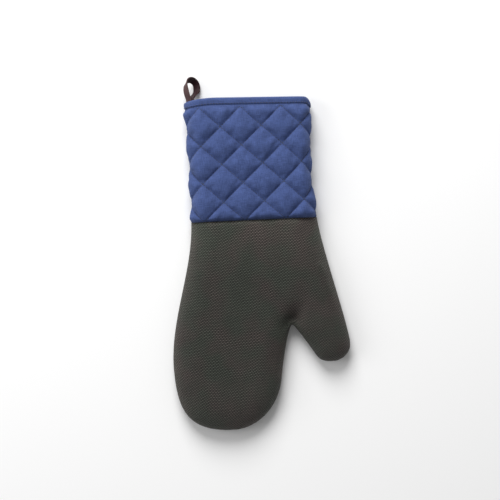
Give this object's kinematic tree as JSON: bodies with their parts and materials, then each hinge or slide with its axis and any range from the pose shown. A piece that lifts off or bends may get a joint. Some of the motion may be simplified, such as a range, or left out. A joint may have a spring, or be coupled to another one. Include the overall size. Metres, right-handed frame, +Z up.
{
  "type": "oven mitt",
  "caption": "Oven mitt with a thumb, a textured dark hand, a diamond-quilted blue cuff with a bound mouth and a strap loop for hanging.",
  "frame": {"origin": "under the middle of the whole object's box, on the table it lies on", "axes": "+Z up through the mitt's thickness from the table, +Y from the finger tip to the cuff's mouth, +X towards the thumb"},
  "size_m": [0.1816, 0.3635, 0.031],
  "materials": {
    "cloth_blue": "matte",
    "cloth_dark": "matte",
    "felt_grey": "matte",
    "lining_grey": "matte",
    "thread_dark": "matte",
    "strap_brown": "satin"
  },
  "bodies": {
    "hand": {"palm_shell_front": "cloth_dark", "palm_shell_back": "cloth_dark", "palm_lining_front": "lining_grey", "palm_lining_back": "lining_grey", "palm_side_stitches": "thread_dark"},
    "fingers": {"fingers_shell_front": "cloth_dark", "fingers_shell_back": "cloth_dark", "fingers_lining_front": "lining_grey", "fingers_lining_back": "lining_grey", "fingers_side_stitches": "thread_dark"},
    "thumb": {"thumb_shell_front": "cloth_dark", "thumb_shell_back": "cloth_dark", "thumb_lining_front": "lining_grey", "thumb_lining_back": "lining_grey", "thumb_side_stitches": "thread_dark"},
    "cuff": {"cuff_cover_front": "cloth_blue", "cuff_cover_back": "cloth_blue", "cuff_batting_front": "felt_grey", "cuff_batting_back": "felt_grey", "cuff_lining_front": "lining_grey", "cuff_lining_back": "lining_grey", "quilting_thread_front": "thread_dark", "quilting_thread_back": "thread_dark", "mouth_binding": "cloth_blue", "binding_stitches": "thread_dark", "cuff_side_stitches": "thread_dark", "wrist_seam_stitches": "thread_dark", "loop_tail": "strap_brown", "loop_bartack": "thread_dark"},
    "loop": {"hanging_loop": "strap_brown"}
  },
  "joints": [
    {"name": "finger_bend", "type": "hinge", "parent": "hand", "child": "fingers", "pos_m": [-0.02832, -0.07411, 0.02735], "axis": [-0.9948, 0.1022, 0], "range_deg": [0, 60], "stiffness_Nm_per_rad": 0.08},
    {"name": "thumb_bend", "type": "hinge", "parent": "hand", "child": "thumb", "pos_m": [0.05711, -0.06105, 0.02735], "axis": [-0.7558, -0.6548, 0], "range_deg": [0, 50], "stiffness_Nm_per_rad": 0.04},
    {"name": "wrist_fold", "type": "hinge", "parent": "hand", "child": "cuff", "pos_m": [-0.00182, 0.03209, 0.02835], "axis": [1, 0, 0], "range_deg": [0, 50], "stiffness_Nm_per_rad": 0.1},
    {"name": "loop_swing", "type": "hinge", "parent": "cuff", "child": "loop", "pos_m": [-0.05585, 0.1587, 0.01238], "axis": [0.5446, 0.1744, 0.8203], "range_deg": [-15, 50], "stiffness_Nm_per_rad": 0.003}
  ]
}
